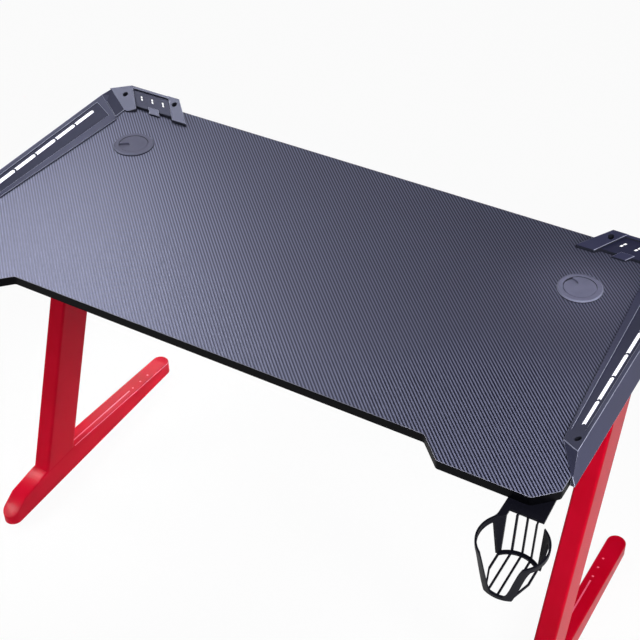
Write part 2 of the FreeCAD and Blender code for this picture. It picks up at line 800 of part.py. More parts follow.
column_run = column_width / math.cos(math.radians(column_lean_deg))
foot_low_x = leg_middle_x - foot_width / 2.0
foot_high_x = leg_middle_x + foot_width / 2.0
foot_body = side_prism(foot_outline(0.0), foot_low_x, foot_high_x)
end_radius = foot_width / 2.0
foot_plan = block(
    foot_low_x, foot_high_x, foot_front_y + end_radius, foot_rear_y - end_radius, foot_low_z, arm_low_z
)
for y in (foot_front_y + end_radius, foot_rear_y - end_radius):
    foot_plan = foot_plan.fuse(rod(end_radius, leg_middle_x, y, foot_low_z, arm_low_z))
foot_body = foot_body.common(foot_plan.removeSplitter())
top_edges = []
for edge in foot_body.Edges:
    middle = edge.valueAt((edge.FirstParameter + edge.LastParameter) / 2.0)
    is_side = abs(abs(middle.x - leg_middle_x) - end_radius) < 0.01
    if is_side and middle.z > foot_low_z + foot_nose_height and len(edge.Vertexes) == 2:
        if abs(edge.Vertexes[0].Point.y - edge.Vertexes[1].Point.y) > 1.0:
            top_edges.append(edge)
foot_body = foot_body.makeFillet(foot_edge_radius, top_edges)
foot_skin = foot_body.copy()
foot_pocket = side_prism(foot_outline(leg_wall), foot_low_x + leg_wall, foot_high_x - leg_wall)
pocket_span = block(
    foot_low_x, foot_high_x, foot_front_y + foot_solid_end, foot_rear_y - foot_solid_end, foot_low_z - below,
    foot_low_z + foot_tail_height - leg_wall - foot_edge_radius,
)
foot_body = foot_body.cut(foot_pocket.common(pocket_span))


def foot_tail_z(y):
    """Height of the foot's sloped top behind the column."""
    crown_z = foot_low_z + foot_crown_height
    crown_rear_y = column_y(crown_z) + column_run / 2.0 + foot_crown_margin
    tail_y = foot_rear_y - foot_width / 2.0
    return crown_z - (foot_crown_height - foot_tail_height) * (y - crown_rear_y) / (tail_y - crown_rear_y)


line_x = leg_middle_x - foot_line_from_middle
line_front_y = column_y(foot_low_z + foot_crown_height) + column_run / 2.0 + foot_line_gap
line_rear_y = half_depth - foot_line_from_rear
line_room = [
    (line_front_y, foot_tail_z(line_front_y) - foot_line_depth),
    (line_rear_y, foot_tail_z(line_rear_y) - foot_line_depth),
    (line_rear_y, foot_tail_z(line_rear_y) + above),
    (line_front_y, foot_tail_z(line_front_y) + above),
]
foot_body = foot_body.cut(side_prism(line_room, line_x - foot_line_width / 2.0, line_x + foot_line_width / 2.0))
for index in range(foot_dimple_count):
    dimple_y = line_rear_y + foot_dimple_gap + index * foot_dimple_pitch
    dimple_z = foot_tail_z(dimple_y) - foot_line_depth
    foot_body = foot_body.cut(rod(foot_dimple_radius, line_x, dimple_y, dimple_z, dimple_z + above))
glide_stem_length = glide_travel + glide_grip
glide_stem_room = glide_stem_length + running_gap
for y in (glide_front_y, glide_rear_y):
    hole_top_z = foot_low_z + glide_stem_room
    hole = rod(glide_stem_radius + running_gap, leg_middle_x, y, foot_low_z - below, hole_top_z)
    foot_body = foot_body.cut(hole)


# Column: leaning box tube between foot and top arm
def column_bar(inset, low_z, high_z):
    """Leaning bar with the tube's outline drawn in by a wall."""
    half_run = column_run / 2.0 - inset / math.cos(math.radians(column_lean_deg))
    points = [
        (column_y(low_z) - half_run, low_z),
        (column_y(low_z) + half_run, low_z),
        (column_y(high_z) + half_run, high_z),
        (column_y(high_z) - half_run, high_z),
    ]
    return side_prism(points, leg_inner_x + inset, leg_outer_x - inset)


column_body = column_bar(0.0, foot_low_z, arm_low_z)
leaning_edges = []
for edge in column_body.Edges:
    ends = [vertex.Point for vertex in edge.Vertexes]
    if abs(ends[0].z - ends[1].z) > column_width:
        leaning_edges.append(edge)
column_body = column_body.makeFillet(column_edge_radius, leaning_edges)
column_body = column_body.cut(column_bar(leg_wall, foot_low_z - below, arm_low_z + above))
column_body = column_body.cut(foot_skin)

# Top arm: box tube under the board, with a plate welded in each end
arm_body = block(leg_inner_x, leg_outer_x, arm_front_y, arm_rear_y, arm_low_z, board_low_z)
long_edges = []
for edge in arm_body.Edges:
    if abs(edge.Vertexes[0].Point.y - edge.Vertexes[1].Point.y) > arm_height:
        long_edges.append(edge)
arm_body = arm_body.makeFillet(arm_edge_radius, long_edges)
arm_room = (leg_inner_x + leg_wall, leg_outer_x - leg_wall, arm_low_z + leg_wall, board_low_z - leg_wall)
arm_body = arm_body.cut(block(arm_room[0], arm_room[1], arm_front_y, arm_rear_y, arm_room[2], arm_room[3]))
front_plate = block(
    arm_room[0], arm_room[1], arm_front_y, arm_front_y + end_plate_thickness, arm_room[2], arm_room[3]
)
rear_plate = block(
    arm_room[0], arm_room[1], arm_rear_y - end_plate_thickness, arm_rear_y, arm_room[2], arm_room[3]
)
arm_plates = Part.makeCompound([front_plate, rear_plate])
arm_screws = []
screw_top_z = board_low_z + arm_screw_bite
for y in arm_screw_ys:
    head_top_z = arm_room[3]
    head = rod(arm_screw_head_radius, leg_middle_x, y, head_top_z - arm_screw_head_height, head_top_z)
    arm_screws.append(head.fuse(rod(arm_screw_shank_radius, leg_middle_x, y, head_top_z, screw_top_z)))
    shank_room = rod(arm_screw_shank_radius + running_gap, leg_middle_x, y, head_top_z, screw_top_z)
    fitting_room = fitting_room.fuse(shank_room)
    access = rod(arm_access_radius, leg_middle_x, y, arm_low_z, arm_low_z + leg_wall)
    arm_body = arm_body.cut(shank_room).cut(access)

# Crossbeams: box tubes with a bolted flange at each end
beam_low_z = board_low_z - beam_height
beam_middle_z = board_low_z - arm_height / 2.0
flange_inner_x = leg_inner_x - flange_thickness
beams = []
bolts = []
for beam_y in beam_ys:
    low_y = beam_y - beam_width / 2.0
    high_y = beam_y + beam_width / 2.0
    beam = block(-flange_inner_x, flange_inner_x, low_y, high_y, beam_low_z, board_low_z)
    hollow = block(
        -leg_inner_x, leg_inner_x, low_y + beam_wall, high_y - beam_wall,
        beam_low_z + beam_wall, board_low_z - beam_wall,
    )
    beam = beam.cut(hollow)
    for sign in (-1, 1):
        flange = block(
            flange_inner_x, leg_inner_x, beam_y - flange_length / 2.0, beam_y + flange_length / 2.0,
            arm_low_z, board_low_z,
        )
        beam = beam.fuse(handed(flange, sign))
        for bolt_y in (beam_y - bolt_spacing / 2.0, beam_y + bolt_spacing / 2.0):
            head_x = flange_inner_x - bolt_head_height
            head = rod_x(bolt_head_radius, bolt_y, beam_middle_z, head_x, flange_inner_x)
            end_x = flange_inner_x + bolt_length
            shank = rod_x(bolt_shank_radius, bolt_y, beam_middle_z, flange_inner_x, end_x)
            room = rod_x(bolt_shank_radius + running_gap, bolt_y, beam_middle_z, flange_inner_x, end_x)
            bolts.append(handed(head.fuse(shank), sign))
            beam = beam.cut(handed(room, sign))
            arm_body = arm_body.cut(room)
    beams.append(beam.removeSplitter())

# Levelling glide: pad on a stem that screws into the foot
glide_top_z = foot_clearance - fit_gap


def glide(y):
    """Pad with a rounded lower edge and its upright stem."""
    pad = rod(glide_pad_radius, leg_middle_x, y, 0.0, glide_top_z)
    low_rim = [edge for edge in pad.Edges if abs(edge.CenterOfMass.z) < 0.001]
    pad = pad.makeChamfer(glide_pad_edge, low_rim)
    return pad.fuse(rod(glide_stem_radius, leg_middle_x, y, glide_top_z, foot_low_z + glide_stem_length))


# Cup holder: moulded basket with a slotted back, side windows, a front dip and a screwed plate
cup_low_z = cup_top_z - cup_height
cup_here = Vector(cup_x, cup_y, cup_low_z)
basket = Part.makeCone(cup_floor_radius, cup_rim_radius, cup_height, cup_here)
cup_plate_top_z = board_low_z
cup_plate_low_z = cup_plate_top_z - cup_plate_thickness
flare_x = cup_plate_left_x - cup_plate_flare_radius
flare_reach = cup_rim_radius + cup_plate_flare_radius
flare_y = cup_y + math.sqrt(flare_reach ** 2 - (cup_x - flare_x) ** 2)
flare_share = cup_rim_radius / flare_reach
cup_plate_plan = [
    (cup_plate_left_x, cup_plate_rear_y),
    (cup_plate_right_x, cup_plate_rear_y),
    (cup_plate_right_x + cup_plate_slant, cup_y + cup_rim_radius / 2.0),
    (cup_x, cup_y),
    (cup_x + flare_share * (flare_x - cup_x), cup_y + flare_share * (flare_y - cup_y)),
    (flare_x, flare_y),
    (cup_plate_left_x, flare_y),
]
cup_plate = prism(cup_plate_plan, cup_plate_low_z, cup_plate_top_z)
cup_plate = cup_plate.cut(rod(cup_plate_flare_radius, flare_x, flare_y, cup_plate_low_z, cup_plate_top_z))
cup_collar = rod(cup_rim_radius, cup_x, cup_y, cup_top_z, cup_plate_top_z)
cup_body = basket.fuse(cup_plate.cut(cup_collar)).fuse(cup_collar)
bore = Part.makeCone(
    cup_floor_radius - cup_wall, cup_rim_radius - cup_wall, cup_height - cup_floor_thickness,
    Vector(cup_x, cup_y, cup_low_z + cup_floor_thickness),
)
bore = bore.fuse(rod(cup_rim_radius - cup_wall, cup_x, cup_y, cup_top_z, cup_plate_top_z))
cup_body = cup_body.cut(bore)
cup_floor_z = cup_low_z + cup_floor_thickness
cup_front_y = cup_y - cup_rim_radius
tongue_half_plan = [
    (cup_seat_half, cup_y + cup_rim_radius),
    (cup_seat_half, cup_y - cup_rim_radius * cup_seat_run_share),
    (cup_tongue_half, cup_front_y),
]
tongue_plan = [(cup_x + x, y) for x, y in tongue_half_plan]
tongue_plan = tongue_plan + [(cup_x - x, y) for x, y in reversed(tongue_half_plan)]
floor_room = grown_prism(tongue_plan, -cup_tongue_edge, cup_low_z - below, cup_floor_z)
floor_room = floor_room.common(rod(cup_floor_radius - 2.0 * cup_wall, cup_x, cup_y, cup_low_z - below, cup_floor_z))
slot_width = cup_rib_pitch - cup_rib_width
slot_rear_y = cup_y + cup_rim_radius + cup_slot_plate_reach
for index in range(cup_rib_count + 1):
    slot_x = cup_x + (index - cup_rib_count / 2.0) * cup_rib_pitch
    slot_low_x = slot_x - slot_width / 2.0
    slot_high_x = slot_x + slot_width / 2.0
    slot_front_y = cup_y + cup_floor_radius / 2.0
    back_slot = block(slot_low_x, slot_high_x, slot_front_y, slot_rear_y, cup_floor_z, cup_plate_top_z)
    floor_slot = block(slot_low_x, slot_high_x, cup_front_y, slot_rear_y, cup_low_z - below, cup_floor_z)
    cup_body = cup_body.cut(back_slot).cut(floor_slot.common(floor_room))


def eased_share(step):
    """Share of the dip's rise, which starts level, climbs steeply and eases again towards the rim."""
    along = cup_dip_ease * step / cup_dip_steps
    full = 3.0 * cup_dip_ease ** 2 - 2.0 * cup_dip_ease ** 3
    return (3.0 * along ** 2 - 2.0 * along ** 3) / full


def dip_side(sign, outward, down):
    """One side of the front dip as a curve in the front plane, moved outwards and down."""
    points = []
    for step in range(cup_dip_steps + 1):
        reach = cup_dip_floor_half + (cup_dip_rim_half - cup_dip_floor_half) * step / cup_dip_steps
        rise = (cup_plate_top_z - dip_low_z) * eased_share(step)
        points.append(Vector(cup_x + sign * (reach + outward), cup_front_y, dip_low_z + rise - down))
    curve = Part.BSplineCurve()
    curve.interpolate(points)
    return curve.toShape(), points[0], points[-1]


dip_low_z = cup_floor_z + cup_dip_margin
left_side, left_low, left_high = dip_side(-1, 0.0, 0.0)
right_side, right_low, right_high = dip_side(1, 0.0, 0.0)
dip_edges = [left_side, Part.makeLine(left_low, right_low), right_side, Part.makeLine(right_high, left_high)]
dip_wire = Part.Wire(Part.__sortEdges__(dip_edges))
cup_body = cup_body.cut(Part.Face(dip_wire).extrude(Vector(0, cup_rim_radius, 0)))
window_span = cup_rim_radius * (1.0 + cup_window_reach_share)
tongue_floor = prism(tongue_plan, cup_low_z - below, cup_floor_z)
for sign in (-1, 1):
    window_side, side_low, side_high = dip_side(sign, cup_strip_width, cup_strip_width)
    far_x = cup_x + sign * (cup_rim_radius + cup_wall)
    far_high = Vector(far_x, cup_front_y, side_high.z)
    far_low = Vector(far_x, cup_front_y, cup_low_z - below)
    near_low = Vector(side_low.x, cup_front_y, cup_low_z - below)
    border = Part.makePolygon([side_high, far_high, far_low, near_low, side_low])
    window_wire = Part.Wire(Part.__sortEdges__([window_side] + border.Edges))
    window = Part.Face(window_wire).extrude(Vector(0, window_span, 0))
    cup_body = cup_body.cut(window.cut(tongue_floor))
view_hole_plan = [
    (cup_view_hole_x, cup_view_hole_y),
    (cup_view_hole_x - cup_view_hole_size, cup_view_hole_y - cup_view_hole_size),
    (cup_view_hole_x, cup_view_hole_y - cup_view_hole_size),
]
cup_body = cup_body.cut(prism(view_hole_plan, cup_plate_low_z, cup_plate_top_z))
cup_screw_bodies = []
cup_screw_room = []
for x in (cup_screw_first_x, cup_screw_first_x + cup_screw_spacing):
    y = cup_screw_y
    head = rod(screw_head_radius, x, y, cup_plate_low_z - screw_head_height, cup_plate_low_z)
    shank_top_z = cup_plate_top_z + screw_bite
    cup_screw_bodies.append(head.fuse(rod(screw_shank_radius, x, y, cup_plate_low_z, shank_top_z)))
    cup_screw_room.append(rod(screw_shank_radius + running_gap, x, y, cup_plate_low_z, shank_top_z))
cup_screw_room = cup_screw_room[0].multiFuse(cup_screw_room[1:])
cup_body = cup_body.cut(cup_screw_room).removeSplitter()

# Board and band with every seat and hole cut
for sign in (-1, 1):
    board_core = board_core.cut(handed(fitting_room, sign))
    edge_band = edge_band.cut(handed(fitting_room, sign))
pieces["desktop_board"] = board_core.cut(cup_screw_room).removeSplitter()
pieces["edge_band"] = edge_band.removeSplitter()

# Left-hand and right-hand pieces by name
trim_screws = []
housing_screws = []
panel_screws = []
sides = (("left", -1, 180.0 - left_notch_angle_deg), ("right", 1, right_notch_angle_deg))
for side, sign, notch_angle in sides:
    pieces[side + "_side_trim"] = handed(trim_body, sign)
    pieces[side + "_light_diffuser"] = handed(light_bar, sign)
    pieces[side + "_light_tape"] = handed(light_tape, sign)
    pieces[side + "_corner_housing"] = handed(housing_body, sign)
    pieces[side + "_corner_lens"] = handed(corner_lens, sign)
    pieces[side + "_lamp_board"] = handed(lamp_board, sign)
    pieces[side + "_power_inlet"] = handed(inlet, sign)
    pieces[side + "_grommet_sleeve"] = handed(grommet_sleeve(notch_angle), sign)
    pieces[side + "_grommet_cap"] = handed(grommet_cap(notch_angle), sign)
    pieces[side + "_foot"] = handed(foot_body, sign)
    pieces[side + "_column"] = handed(column_body, sign)
    pieces[side + "_top_arm"] = handed(arm_body, sign)
    pieces[side + "_arm_end_plates"] = handed(arm_plates, sign)
    pieces[side + "_front_glide"] = handed(glide(glide_front_y), sign)
    pieces[side + "_rear_glide"] = handed(glide(glide_rear_y), sign)
    trim_screws.append(handed(wood_screw(trim_screw_x, trim_screw_y, screw_seat_z), sign))
    for x, y in housing_screw_places:
        housing_screws.append(handed(wood_screw(x, y, screw_seat_z), sign))
    for screw in arm_screws:
        panel_screws.append(handed(screw, sign))
pieces["front_crossbeam"] = beams[0]
pieces["rear_crossbeam"] = beams[1]
pieces["crossbeam_bolts"] = Part.makeCompound(bolts)
pieces["board_screws"] = Part.makeCompound(panel_screws)
pieces["trim_screws"] = Part.makeCompound(trim_screws)
pieces["housing_screws"] = Part.makeCompound(housing_screws)
pieces["cup_holder"] = cup_body
pieces["cup_holder_screws"] = Part.makeCompound(cup_screw_bodies)

# The origin is on the floor under the middle of the whole desk's box
whole = Part.makeCompound(list(pieces.values())).optimalBoundingBox(False, False)
to_origin = Vector(-whole.Center.x, -whole.Center.y, -whole.ZMin)
print("desk box", [round(v, 3) for v in (whole.XLength, whole.YLength, whole.ZLength)])
print("moved by", [round(v, 3) for v in to_origin])
os.makedirs("parts", exist_ok=True)
for name, shape in pieces.items():
    shape.translate(to_origin)
    shape.exportStep("parts/" + name + ".step")
    print(name, len(shape.Solids), "solids", round(shape.Volume), "mm3, valid:", shape.isValid())
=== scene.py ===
import math
import bmesh
import bpy
import numpy as np
from mathutils import Matrix, Vector


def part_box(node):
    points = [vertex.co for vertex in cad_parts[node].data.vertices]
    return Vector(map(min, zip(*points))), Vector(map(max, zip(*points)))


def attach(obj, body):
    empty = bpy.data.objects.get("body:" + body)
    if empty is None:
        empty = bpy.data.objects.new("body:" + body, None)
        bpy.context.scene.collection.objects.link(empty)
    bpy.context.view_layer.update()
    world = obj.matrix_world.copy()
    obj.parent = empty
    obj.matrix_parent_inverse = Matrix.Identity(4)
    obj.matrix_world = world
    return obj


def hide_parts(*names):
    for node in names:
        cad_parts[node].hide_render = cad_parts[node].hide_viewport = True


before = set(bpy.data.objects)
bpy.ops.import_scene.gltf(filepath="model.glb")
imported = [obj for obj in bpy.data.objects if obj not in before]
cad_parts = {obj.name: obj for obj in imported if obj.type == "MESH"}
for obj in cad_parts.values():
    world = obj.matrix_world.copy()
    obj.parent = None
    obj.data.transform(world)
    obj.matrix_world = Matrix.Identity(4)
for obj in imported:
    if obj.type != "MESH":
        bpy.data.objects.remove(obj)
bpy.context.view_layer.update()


# Legs: two welded steel frames, each a pressed foot, a leaning box column and an arm under the board.
# The steel is sprayed in a deep red with a thin clear coat, which dries to a faint orange-peel skin.
# On the foot's tail a light pink paint along the inner edge and in the pressed line and dimples stands for
# the highlights they catch: painted highlights.
def new_finish(name):
    """An empty node finish: the material, its node tree and its surface shader."""
    finish = bpy.data.materials.new(name)
    finish.use_nodes = True
    return finish, finish.node_tree, finish.node_tree.nodes["Principled BSDF"]


def set_sockets(node, sockets):
    """Gives a node's input sockets constant values; a space in a socket's name may be written as _."""
    for key, value in sockets.items():
        node.inputs[key.replace("_", " ")].default_value = value


def add_node(tree, kind, settings=None, **sockets):
    """A node of a kind, with its settings and the constant values of its input sockets."""
    node = tree.nodes.new(kind)
    for key, value in (settings or {}).items():
        setattr(node, key, value)
    set_sockets(node, sockets)
    return node


def linear(red, green, blue):
    """A colour given in screen values of 0 to 255, as the linear colour that a shader takes."""
    values = np.array([red, green, blue]) / 255.0
    curve = np.where(values <= 0.04045, values / 12.92, ((values + 0.055) / 1.055) ** 2.4)
    return tuple(float(v) for v in curve) + (1.0,)


def object_noise(tree, cells, detail, roughness=0.5):
    """Noise on the piece's own coordinates, with so many cells per metre."""
    place = add_node(tree, "ShaderNodeTexCoord")
    noise = add_node(tree, "ShaderNodeTexNoise", Scale=cells, Detail=detail, Roughness=roughness)
    tree.links.new(place.outputs["Object"], noise.inputs["Vector"])
    return noise.outputs["Fac"]


def colour_between(tree, factor, shader, stops, dark, light):
    """The shader's colour runs from dark at the first stop of a factor to light at the second."""
    ramp = add_node(tree, "ShaderNodeValToRGB")
    for element, stop, colour in zip(ramp.color_ramp.elements, stops, (dark, light)):
        element.position = stop
        element.color = linear(*colour)
    tree.links.new(factor, ramp.inputs["Fac"])
    tree.links.new(ramp.outputs["Color"], shader.inputs["Base Color"])


def roughness_between(tree, factor, shader, low, high):
    """The shader's roughness runs from low to high as the factor goes from 0 to 1."""
    spread = add_node(tree, "ShaderNodeMapRange", To_Min=low, To_Max=high)
    tree.links.new(factor, spread.inputs["Value"])
    tree.links.new(spread.outputs["Result"], shader.inputs["Roughness"])


def bumped(tree, height, shader, depth):
    """The shader's normal follows a height, which is depth metres deep."""
    bump = add_node(tree, "ShaderNodeBump", Strength=1.0, Distance=depth)
    tree.links.new(height, bump.inputs["Height"])
    tree.links.new(bump.outputs["Normal"], shader.inputs["Normal"])


def grained_finish(name, dark, light, cloud, roughness, grain=None, stops=(0.3, 0.75), depth=None, **sockets):
    """A finish whose colour runs between two screen colours with a noise, the cloud, and whose roughness
    and height follow a finer noise, the grain, or else the cloud too. A noise is given by its cells per
    metre, its detail and, where it isn't 0.5, its roughness. The sockets have one value all over."""
    finish, tree, shader = new_finish(name)
    coarse = object_noise(tree, *cloud)
    fine = object_noise(tree, *grain) if grain else coarse
    colour_between(tree, coarse, shader, stops, dark, light)
    roughness_between(tree, fine, shader, *roughness)
    if depth:
        bumped(tree, fine, shader, depth)
    set_sockets(shader, sockets)
    return finish


def gloss_paint(name, dark, light, coat):
    """Sprayed paint with slow clouds between two tones, an orange-peel skin and a share of clear coat."""
    return grained_finish(
        name, dark, light, cloud=(9.0, 3.0), grain=(420.0, 2.0), stops=(0.3, 0.7), roughness=(0.3, 0.4),
        depth=0.00008, Specular_IOR_Level=0.04, Coat_Weight=coat, Coat_Roughness=0.14,
    )


def dress(names, finish):
    """Gives CAD nodes a finish."""
    for name in names:
        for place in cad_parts[name].material_slots:
            place.material = finish


def merged_corners(node):
    """A CAD node's mesh with its doubled corners merged, so that neighbouring faces share them."""
    merge_reach = 0.00002
    work = bmesh.new()
    work.from_mesh(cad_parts[node].data)
    bmesh.ops.remove_doubles(work, verts=work.verts, dist=merge_reach)
    return work


def dressed_mesh(work, name, finishes):
    """A mesh made of merged corners, with the finishes that its faces take by number."""
    mesh = bpy.data.meshes.new(name)
    work.to_mesh(mesh)
    work.free()
    mesh.materials.clear()
    for finish in finishes:
        mesh.materials.append(finish)
    return mesh


def merged_copy(node, ending, finishes):
    """A merged copy of a CAD node's mesh, without the directions that the loose corners had."""
    mesh = dressed_mesh(merged_corners(node), node + ending, finishes)
    mesh.attributes.remove(mesh.attributes["custom_normal"])
    return mesh


def face_facts(mesh):
    """The middles and the outward directions of a mesh's faces, each as rows of x, y and z."""
    middle = np.empty(len(mesh.polygons) * 3)
    facing = np.empty(len(mesh.polygons) * 3)
    mesh.polygons.foreach_get("center", middle)
    mesh.polygons.foreach_get("normal", facing)
    return middle.reshape(-1, 3).T, facing.reshape(-1, 3).T


def number_faces(mesh, numbers):
    """Gives each face the finish of its number."""
    mesh.polygons.foreach_set("material_index", numbers.astype(np.int32))


def show_instead(mesh, node):
    """Shows a mesh, with the finishes it carries, as a piece of the desk that stands for a CAD node, which it
    hides.
    """
    piece = bpy.data.objects.new(mesh.name, mesh)
    bpy.context.scene.collection.objects.link(piece)
    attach(piece, "desk")
    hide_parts(node)
    return piece


sides = ("left_", "right_")
red_paint = gloss_paint("red_gloss_paint", (194, 2, 33), (206, 6, 42), coat=0.05)
# A light pink paint that stands for highlights on the feet: painted highlight.
highlight_paint = gloss_paint("red_paint_painted_highlight", (240, 112, 140), (250, 142, 165), coat=0.15)
dress([side + piece for side in sides for piece in ("column", "top_arm", "arm_end_plates")], red_paint)

tail_front_y = 0.05
tail_slope = 0.0797
slope_y, slope_z = 0.188, 0.04931
marks_half_width = 0.012
marks_shallowest, marks_deepest = 0.0002, 0.003
edge_inward, edge_up, level_across = 0.5, 0.45, 0.05
foot_crease = math.radians(35.0)
for side in sides:
    foot_mesh = merged_copy(side + "foot", "_highlight_painted", [red_paint, highlight_paint])
    foot_low, foot_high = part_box(side + "foot")
    foot_middle_x = (foot_low[0] + foot_high[0]) / 2.0
    (x, y, z), facing = face_facts(foot_mesh)
    on_tail = y > tail_front_y
    sunk = slope_z - tail_slope * (y - slope_y) - z
    marked = on_tail & (np.abs(x - foot_middle_x) < marks_half_width)
    marked &= (sunk > marks_shallowest) & (sunk < marks_deepest)
    inward = -facing[0] * np.sign(foot_middle_x)
    inner_edge = on_tail & (inward > edge_inward) & (facing[2] > edge_up)
    level_tail = on_tail & (np.abs(inward) < level_across)
    # The pressed marks and the tail's inner edge take the light pink paint: painted highlights.
    number_faces(foot_mesh, marked | inner_edge)
    foot_mesh.set_sharp_from_angle(angle=foot_crease)
    foot_mesh.polygons.foreach_set("use_smooth", ~(level_tail | marked))
    show_instead(foot_mesh, side + "foot")

# Levelling glides: moulded pads with a matt rubber face, on threaded stems.
# They are screwed into the feet from below, and turned out until the desk stands level.
glide_rubber = grained_finish(
    "glide_rubber", (26, 26, 28), (46, 46, 50), cloud=(900.0, 4.0), roughness=(0.6, 0.85), depth=0.0002,
)
dress([side + place + "_glide" for side in sides for place in ("front", "rear")], glide_rubber)

# Crossbeams: two steel box tubes with flanges welded to their ends, bolted between the arms of the legs.
# They are powder-coated black, and the powder bakes to a pebbled skin.
black_steel = grained_finish(
    "black_powder_coat", (18, 18, 20), (38, 38, 42), cloud=(700.0, 5.0, 0.65), roughness=(0.45, 0.7),
    depth=0.00025,
)
dress(["front_crossbeam", "rear_crossbeam"], black_steel)

# Bolts and screws: turned steel, zinc-plated and blackened, with a fine grain from the lathe.
# The bolts hold the crossbeams, and the screws hold the board, the covers and the cup holder.
screw_steel = grained_finish(
    "dark_screw_steel", (58, 58, 62), (96, 96, 102), cloud=(1500.0, 3.0), roughness=(0.28, 0.5),
    depth=0.00005, Metallic=1.0,
)
dress(["crossbeam_bolts", "board_screws", "trim_screws", "housing_screws", "cup_holder_screws"], screw_steel)

# Board: pressed wood panel under a foil with fine embossed ribs, laid at 45 degrees to the desk's edges.
# Each rib is a light line on a dark ground, so the foil shows stripes and a broad sheen.
rib_pitch = 0.00485
rib_turn = math.radians(-45.0)
rib_depth = 0.0001
wave_scale = math.pi / 10.0 / rib_pitch
striped_foil, tree, shader = new_finish("striped_foil")
place = add_node(tree, "ShaderNodeTexCoord")
turn = add_node(tree, "ShaderNodeMapping", Rotation=(0.0, 0.0, rib_turn))
wave = add_node(
    tree, "ShaderNodeTexWave", {"wave_type": "BANDS", "bands_direction": "X", "wave_profile": "SIN"},
    Scale=wave_scale, Distortion=0.0,
)
ribs = wave.outputs["Fac"]
tree.links.new(place.outputs["Object"], turn.inputs["Vector"])
tree.links.new(turn.outputs["Vector"], wave.inputs["Vector"])
colour_between(tree, ribs, shader, stops=(0.32, 0.82), dark=(9, 10, 28), light=(128, 131, 160))
roughness_between(tree, ribs, shader, low=0.28, high=0.38)
bumped(tree, ribs, shader, rib_depth)
set_sockets(shader, {"Specular IOR Level": 0.95, "IOR": 1.8, "Specular Tint": (0.66, 0.69, 1.0, 1.0)})
dress(["desktop_board"], striped_foil)

# Edge band: one millimetre of black plastic, glued round the panel and trimmed flush.
# A light colour on its narrow top rim stands for the highlight that the rim catches: a painted highlight,
# seen as a light line round the board.
black_edge = grained_finish(
    "black_edge_band", (2, 2, 4), (7, 7, 11), cloud=(260.0, 4.0), roughness=(0.42, 0.6), depth=0.00008,
    Specular_IOR_Level=0.05,
)
# A light grey for the band's top rim: a painted highlight.
rim_highlight_paint = grained_finish(
    "band_rim_painted_highlight", (128, 129, 146), (160, 161, 178), cloud=(340.0, 4.0), roughness=(0.3, 0.45),
    depth=0.00004,
)
board_low, board_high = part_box("desktop_board")
rim_reach = 0.0002
level_from = 0.9
band_mesh = merged_copy("edge_band", "_rim_painted_highlight", [black_edge, rim_highlight_paint])
middle, facing = face_facts(band_mesh)
# The level top rim takes the light colour: a painted highlight.
number_faces(band_mesh, (facing[2] > level_from) & (middle[2] > board_high[2] - rim_reach))
band_mesh.shade_flat()
show_instead(band_mesh, "edge_band")

# Side trims and corner housings: moulded plastic covers with a fine spark-eroded grain, screwed to the board.
# Their sunk floors, the light channels, window plates and screw wells, are left coarser, and they and all
# steep faces take a darker colour: painted shade.
# Upright walls that look inward or forward take a near-black colour: painted shadow.
# Their long edges are rounded, and a light colour on the rounds stands for the light they catch: painted
# highlights, seen as thin lines.
def cover_plastic(name, dark, light, rough):
    """Moulded plastic with slow flow clouds between two tones, and a fine grain in gloss and height."""
    grain_spread = 0.14
    return grained_finish(
        name, dark, light, cloud=(14.0, 3.0), grain=(1800.0, 3.0), stops=(0.3, 0.7),
        roughness=(rough, rough + grain_spread), depth=0.00006,
        Specular_IOR_Level=1.0, Specular_Tint=(0.72, 0.76, 1.0, 1.0),
    )


# The second finish is painted shade, the third a painted highlight, the fourth painted shadow.
cover_finishes = [
    cover_plastic("trim_plastic", (55, 56, 86), (62, 63, 96), rough=0.36),
    cover_plastic("trim_plastic_painted_shade", (30, 30, 60), (37, 37, 70), rough=0.5),
    cover_plastic("trim_plastic_painted_highlight", (178, 181, 208), (194, 197, 222), rough=0.24),
    cover_plastic("trim_plastic_painted_shadow", (12, 13, 20), (18, 19, 28), rough=0.6),
]
highlight_number, cover_shadow_number = 2, 3
desk_middle_x = (board_low[0] + board_high[0]) / 2.0
desk_middle_y = (board_low[1] + board_high[1]) / 2.0


def eased(node, width, shortest, foremost):
    """Shows a cover with its outward edges rounded by a width where they are longer than the shortest,
    apart from the edges of walls whose outward direction has a y below the foremost."""
    flat_within, sharp_from = math.radians(0.05), math.radians(14.0)
    work = merged_corners(node)
    bmesh.ops.dissolve_limit(work, angle_limit=flat_within, verts=work.verts, edges=work.edges)
    rounded = [
        edge.is_convex and edge.calc_length() > shortest and edge.calc_face_angle(0.0) > sharp_from
        and min(face.normal.y for face in edge.link_faces) > foremost
        for edge in work.edges
    ]
    mesh = dressed_mesh(work, node + "_eased", cover_finishes)
    weights = mesh.attributes.new("bevel_weight_edge", "FLOAT", "EDGE")
    weights.data.foreach_set("value", np.array(rounded, dtype=np.float32))
    mesh.shade_flat()
    round_over = show_instead(mesh, node).modifiers.new("round_over", "BEVEL")
    round_over.width = width
    round_over.segments = 3
    round_over.limit_method = "WEIGHT"
    round_over.use_clamp_overlap = False
    # The rounds take the light finish: painted highlights.
    round_over.material = highlight_number
    return mesh


